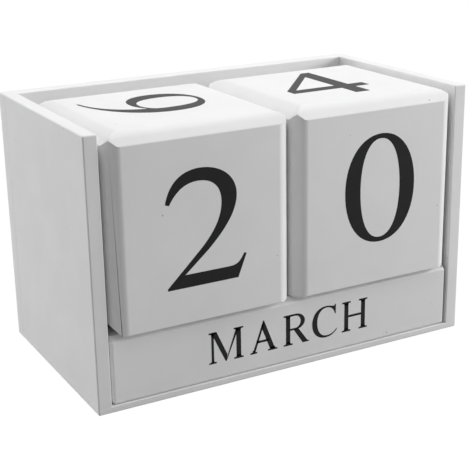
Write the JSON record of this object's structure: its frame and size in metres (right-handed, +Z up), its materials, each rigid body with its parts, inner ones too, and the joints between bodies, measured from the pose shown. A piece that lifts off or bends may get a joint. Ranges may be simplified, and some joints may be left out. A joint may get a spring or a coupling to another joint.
{
  "type": "perpetual desk calendar",
  "caption": "White wooden perpetual desk calendar: an open-fronted case with lift-out date cubes resting on a row of sliding month blocks.",
  "frame": {"origin": "middle of the footprint, on the table", "axes": "+X to the right as the calendar is read, +Y from its front towards its back, +Z up"},
  "size_m": [0.1208, 0.0684, 0.0771],
  "materials": {
    "case_paint": "painted white, satin",
    "block_paint": "painted white, satin",
    "cube_paint": "painted white, satin",
    "brad_steel": "plain"
  },
  "bodies": {
    "case": {"floor_panel": "case_paint", "left_side_panel": "case_paint", "right_side_panel": "case_paint", "back_panel": "case_paint", "back_brads": "brad_steel", "floor_brads": "brad_steel"},
    "tens": {"tens_cube": "cube_paint"},
    "units": {"units_cube": "cube_paint"},
    "front_month": {"front_month_block": "block_paint"},
    "middle_month": {"middle_month_block": "block_paint"},
    "rear_month": {"rear_month_block": "block_paint"}
  },
  "joints": [
    {"name": "tens_lift", "type": "slide", "parent": "case", "child": "tens", "axis": [0, 0, 1], "range_m": [0, 0.06]},
    {"name": "units_lift", "type": "slide", "parent": "case", "child": "units", "axis": [0, 0, 1], "range_m": [0, 0.06]},
    {"name": "front_month_slide", "type": "slide", "parent": "case", "child": "front_month", "axis": [0, -1, 0], "range_m": [0, 0.068]},
    {"name": "middle_month_slide", "type": "slide", "parent": "case", "child": "middle_month", "axis": [0, -1, 0], "range_m": [0, 0.066]},
    {"name": "rear_month_slide", "type": "slide", "parent": "case", "child": "rear_month", "axis": [0, -1, 0], "range_m": [0, 0.064]}
  ],
  "couplings": [
    {"joint": "middle_month_slide", "follows": "front_month_slide", "ratio": 0.965},
    {"joint": "rear_month_slide", "follows": "front_month_slide", "ratio": 0.93}
  ]
}
